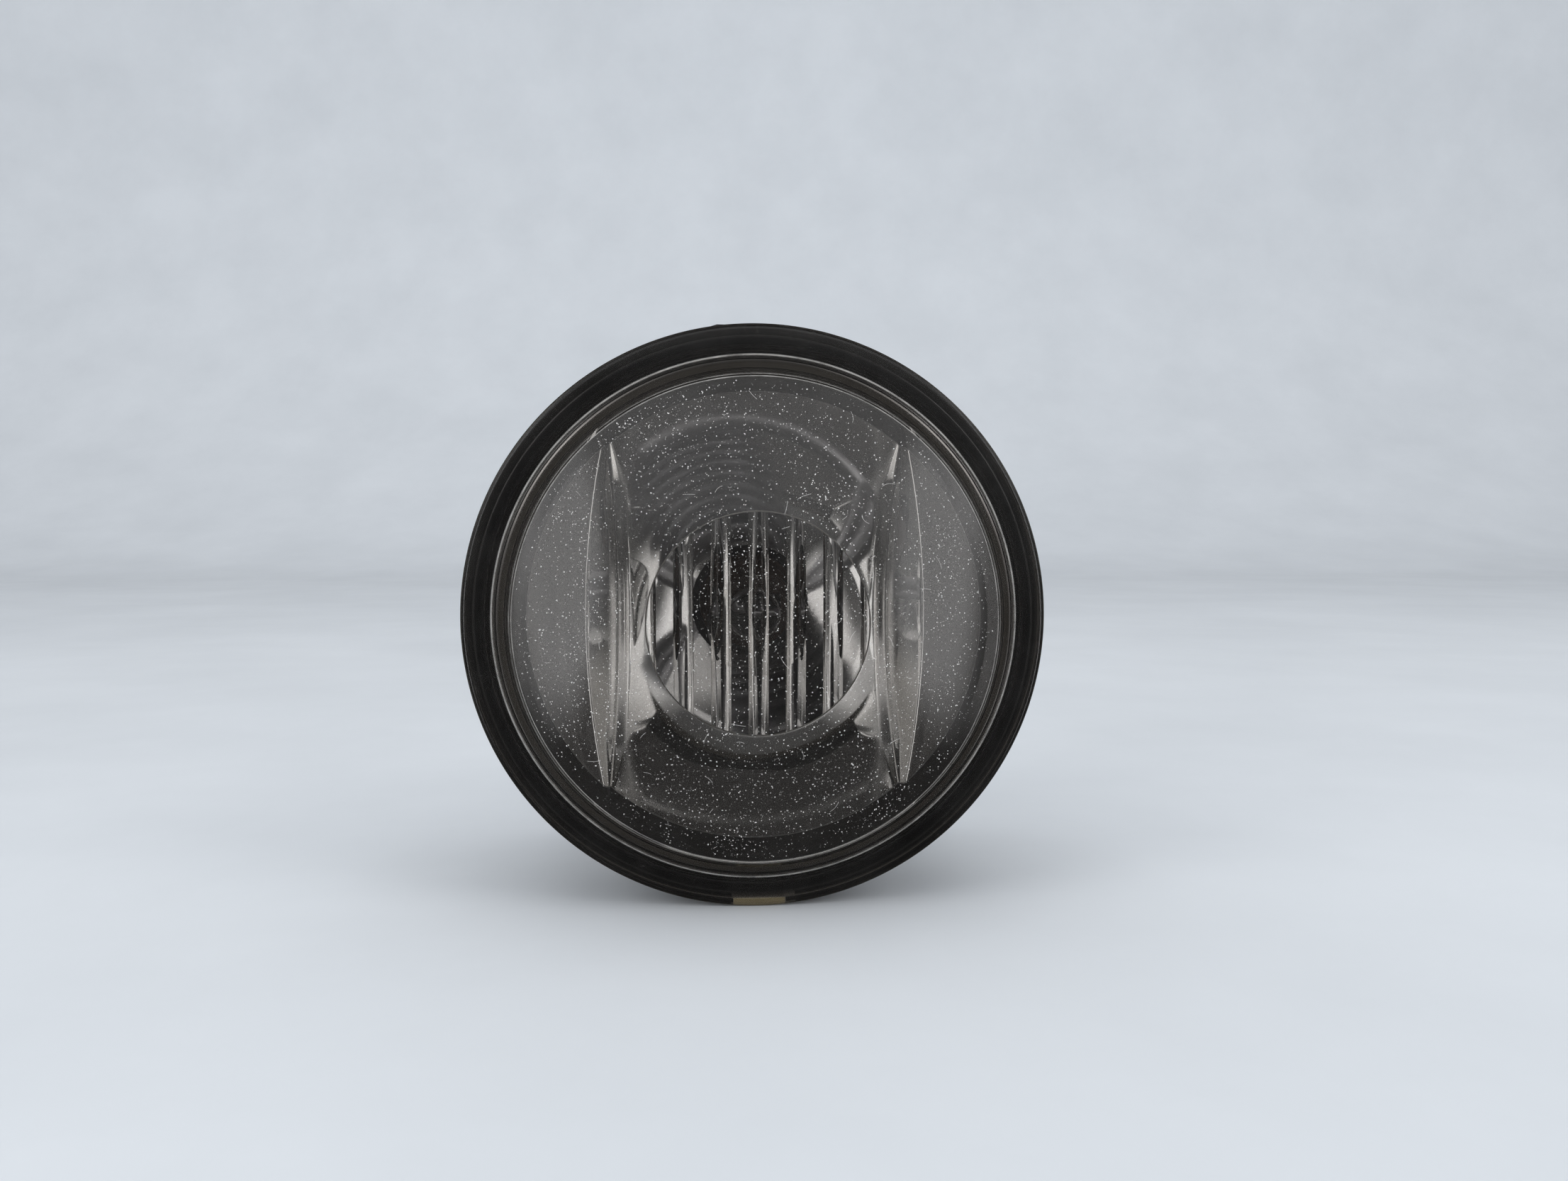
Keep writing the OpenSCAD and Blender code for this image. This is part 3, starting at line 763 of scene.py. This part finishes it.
def make_bulb_glass():
    """A quartz capsule on a flat pinch."""
    outer = [(0, 24.6), (3.4, 24.6)] + curve([
        (4.05, 25.7), (4.2, 26.6), (4.2, 33), (4.2, 39.6), (4.02, 41.1), (3.4, 42.4), (2.3, 43.25),
        (1.1, 43.62), (0, 43.7),
    ])
    inner = curve([
        (0, 43.05), (1.0, 42.95), (2.0, 42.6), (2.9, 41.9), (3.45, 40.8), (3.6, 39.4), (3.6, 33),
        (3.6, 27.8), (3.2, 26.8), (2.4, 26.4),
    ]) + [(0, 26.4)]
    capsule = lathe("bulb_glass", outer + inner, 128)
    pinch = prism("pinch", rounded([(-5, -2.2), (5, -2.2), (5, 2.2), (-5, 2.2)], 0.7, 5), 17, 25.5)
    add(capsule, pinch)
    return finish_piece(capsule, "bulb_glass", "bulb_body", QUARTZ, 35)


def make_filament():
    """A wound coil between the two lead wires."""
    turns, steps, wire_r, coil_r = 11, 20, 0.16, 0.72
    path = [(coil_r * math.cos(2 * math.pi * k / steps), coil_r * math.sin(2 * math.pi * k / steps),
             32.6 + 4.2 * k / (turns * steps)) for k in range(turns * steps + 1)]
    verts, faces, ring = [], [], 8
    for k, p in enumerate(path):
        a = 2 * math.pi * k / steps
        out = (math.cos(a), math.sin(a))
        for q in range(ring):
            b = 2 * math.pi * q / ring
            side, rise = wire_r * math.cos(b), wire_r * math.sin(b)
            verts.append((p[0] + side * out[0], p[1] + side * out[1], p[2] + rise))
    for k in range(len(path) - 1):
        for q in range(ring):
            n = (q + 1) % ring
            faces.append([k * ring + q, k * ring + n, (k + 1) * ring + n, (k + 1) * ring + q])
    faces.append(list(range(ring))[::-1])
    faces.append([(len(path) - 1) * ring + q for q in range(ring)])
    coil = make("bulb_filament", verts, faces)
    for z in (32.4, 36.9):
        stub = lathe("stub", [(0, z), (0.9, z), (0.9, z + 0.1), (0, z + 0.1)], 32)
        bpy.ops.object.select_all(action="DESELECT")
        stub.select_set(True)
        coil.select_set(True)
        bpy.context.view_layer.objects.active = coil
        bpy.ops.object.join()
    return finish_piece(coil, "bulb_filament", "bulb_body", TUNGSTEN, 50)


make_bulb_glass()
make_filament()

# ---------------------------------------------------------------- CAD nodes that stay

FINISH = {
    "lens_sealant": SEALANT, "housing": BLACK, "pivot_bushing_left": ACETAL, "pivot_bushing_right": ACETAL,
    "vent_elbow_upper": RUBBER, "vent_elbow_lower": RUBBER, "vent_filters": FELT,
    "bulb_base": BASE, "bulb_collar": COLLAR,
    "bulb_leads": WIRE, "bulb_seal": SILICONE, "bulb_terminals": TIN,
    "bracket": ZINC, "pivot_pin_left": PLATE, "pivot_pin_right": PLATE, "pivot_washers": PLATE,
    "screw_bushing": ACETAL, "aim_screw": YELLOW, "screw_clip": PLATE, "aim_nut": NYLON,
}
for name, material in FINISH.items():
    mesh = nodes[name].data
    mesh.materials.clear()
    mesh.materials.append(material)
    mesh.shade_smooth()
    mesh.set_sharp_from_angle(angle=math.radians(30))

# ---------------------------------------------------------------- stage

floor_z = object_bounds()[0].z


def make_floor():
    """A pale floor that curves up into a wall far behind the lamp."""
    back, bend, top = 1.0, 0.7, 3.0
    line = [(-4.0, floor_z), (-1.0, floor_z), (0.0, floor_z), (back - 0.3, floor_z)]
    turns = [math.pi / 2 * k / 24 for k in range(25)]
    line += [(back + bend * math.sin(a), floor_z + bend * (1 - math.cos(a))) for a in turns]
    line.append((back + bend, floor_z + top))
    mesh = bpy.data.meshes.new("floor")
    verts = [(x, y, z) for y, z in line for x in (-6.0, 6.0)]
    mesh.from_pydata(verts, [], [[2 * k, 2 * k + 1, 2 * k + 3, 2 * k + 2] for k in range(len(line) - 1)])
    mesh.shade_smooth()
    floor = bpy.data.objects.new("floor", mesh)
    bpy.context.scene.collection.objects.link(floor)
    floor.data.materials.append(floor_material())
    floor.visible_glossy = False
    floor.visible_transmission = False


make_floor()


def softbox(name, place, size, power, colour=(1, 1, 1), target=(0, -0.05, 0)):
    data = bpy.data.lights.new(name, "AREA")
    data.shape = "RECTANGLE"
    data.size, data.size_y = size
    data.energy = power
    data.color = colour
    light = bpy.data.objects.new(name, data)
    bpy.context.scene.collection.objects.link(light)
    light.location = place
    light.visible_glossy = False
    light.visible_transmission = False
    light.rotation_euler = (Vector(target) - Vector(place)).to_track_quat("-Z", "Y").to_euler()
    return light


softbox("top", (0.0, -0.15, 1.3), (1.4, 1.2), 5, (0.96, 0.98, 1.0))
softbox("left", (-0.85, -0.55, 0.35), (0.35, 1.1), 3)
softbox("right", (0.85, -0.55, 0.35), (0.35, 1.1), 3)


# what reflections see: a plain studio, brighter with height, with one soft strip on each side and a dim
# camera side. Strips and dim side are directions (x, z), half sizes, tone and softness.
ROOM = [
    (-1.0, 0.06), (-0.5, 0.07), (-0.2, 0.10), (0.0, 0.16), (0.2, 0.26), (0.36, 0.75), (0.7, 0.75),
    (0.84, 0.10), (1.0, 0.10),
]
PATCHES = [
    (-0.66, 0.12, 0.13, 0.50, (1.7, 1.7, 1.72), 0.35),
    (0.66, 0.12, 0.13, 0.50, (1.7, 1.7, 1.72), 0.35),
    (0.0, -0.06, 0.27, 0.30, (0.055, 0.053, 0.053), 0.3),
]
REAR = (0.07, 0.067, 0.062)
PALE = (0.66, 0.69, 0.73)


def make_world():
    """Pale for the camera and for diffuse light. Reflections see the plain studio."""
    world = bpy.data.worlds.new("studio")
    bpy.context.scene.world = world
    world.use_nodes = True
    tree = world.node_tree
    back = tree.nodes["Background"]
    path = tree.nodes.new("ShaderNodeLightPath")
    coord = tree.nodes.new("ShaderNodeTexCoord")
    split = tree.nodes.new("ShaderNodeSeparateXYZ")
    tree.links.new(coord.outputs["Generated"], split.inputs[0])
    x, y, z = split.outputs

    def calc(operation, *values):
        node = tree.nodes.new("ShaderNodeMath")
        node.operation = operation
        for value, socket in zip(values, node.inputs):
            if isinstance(value, (int, float)):
                socket.default_value = value
            else:
                tree.links.new(value, socket)
        return node.outputs[0]

    def step(value, start, end):
        node = tree.nodes.new("ShaderNodeMapRange")
        node.interpolation_type = "SMOOTHSTEP"
        node.inputs["From Min"].default_value = start
        node.inputs["From Max"].default_value = end
        tree.links.new(value, node.inputs["Value"])
        return node.outputs["Result"]

    def blend(factor, a, b):
        node = tree.nodes.new("ShaderNodeMix")
        node.data_type = "RGBA"
        tree.links.new(factor, [s for s in node.inputs if s.name == "Factor" and s.type == "VALUE"][0])
        for name, value in (("A", a), ("B", b)):
            socket = [s for s in node.inputs if s.name == name and s.type == "RGBA"][0]
            if isinstance(value, tuple):
                socket.default_value = (*value, 1)
            else:
                tree.links.new(value, socket)
        return [s for s in node.outputs if s.type == "RGBA"][0]

    def oval(centre_x, centre_z, half_x, half_z, soft=0.12):
        """1 inside an oval of directions, 0 outside."""
        dx = calc("DIVIDE", calc("SUBTRACT", x, centre_x), half_x)
        dz = calc("DIVIDE", calc("SUBTRACT", z, centre_z), half_z)
        far = calc("SQRT", calc("ADD", calc("MULTIPLY", dx, dx), calc("MULTIPLY", dz, dz)))
        return step(far, 1 + soft, 1 - soft)

    room = tree.nodes.new("ShaderNodeValToRGB")
    while len(room.color_ramp.elements) < len(ROOM):
        room.color_ramp.elements.new(0.5)
    for element, (height, level) in zip(room.color_ramp.elements, ROOM):
        element.position = (height + 1) / 2
        element.color = (level, level, level * 1.01, 1)
    tree.links.new(calc("MULTIPLY_ADD", z, 0.5, 0.5), room.inputs["Fac"])
    colour = room.outputs["Color"]
    for centre_x, centre_z, half_x, half_z, tone, soft in PATCHES:
        colour = blend(oval(centre_x, centre_z, half_x, half_z, soft), colour, tone)
    colour = blend(step(y, -0.25, 0.15), colour, REAR)
    direct = calc("MAXIMUM", path.outputs["Is Camera Ray"], path.outputs["Is Diffuse Ray"])
    colour = blend(direct, colour, PALE)
    tree.links.new(colour, back.inputs["Color"])
    back.inputs["Strength"].default_value = 1.0


make_world()


def make_camera():
    lens_mm, sensor_mm, frame_px = 27, 36, 2212
    focal_px = lens_mm / sensor_mm * frame_px
    distance = 0.1806
    centre = Vector((0, -FLANGE_Z * MM, 0))
    elevation, azimuth = math.radians(4.8), math.radians(-2.0)
    level = math.cos(elevation)
    away = Vector((math.sin(azimuth) * level, -math.cos(azimuth) * level, math.sin(elevation)))
    place = centre + away * distance
    right = (-away).cross(Vector((0, 0, 1))).normalized()
    up = right.cross(-away)
    shift_right_px, shift_up_px = 39, 40
    target = centre + (right * shift_right_px + up * shift_up_px) * distance / focal_px
    data = bpy.data.cameras.new("camera")
    data.sensor_width = sensor_mm
    data.lens = lens_mm
    data.clip_start = 0.005
    camera = bpy.data.objects.new("camera", data)
    bpy.context.scene.collection.objects.link(camera)
    camera.location = place
    camera.rotation_euler = (target - place).to_track_quat("-Z", "Y").to_euler()
    bpy.context.scene.camera = camera


make_camera()
scene = bpy.context.scene
scene.view_settings.view_transform = "Standard"
scene.cycles.max_bounces = 24
scene.cycles.transmission_bounces = 20
scene.cycles.glossy_bounces = 12
scene.cycles.transparent_max_bounces = 12
scene.cycles.caustics_reflective = True
scene.cycles.caustics_refractive = True
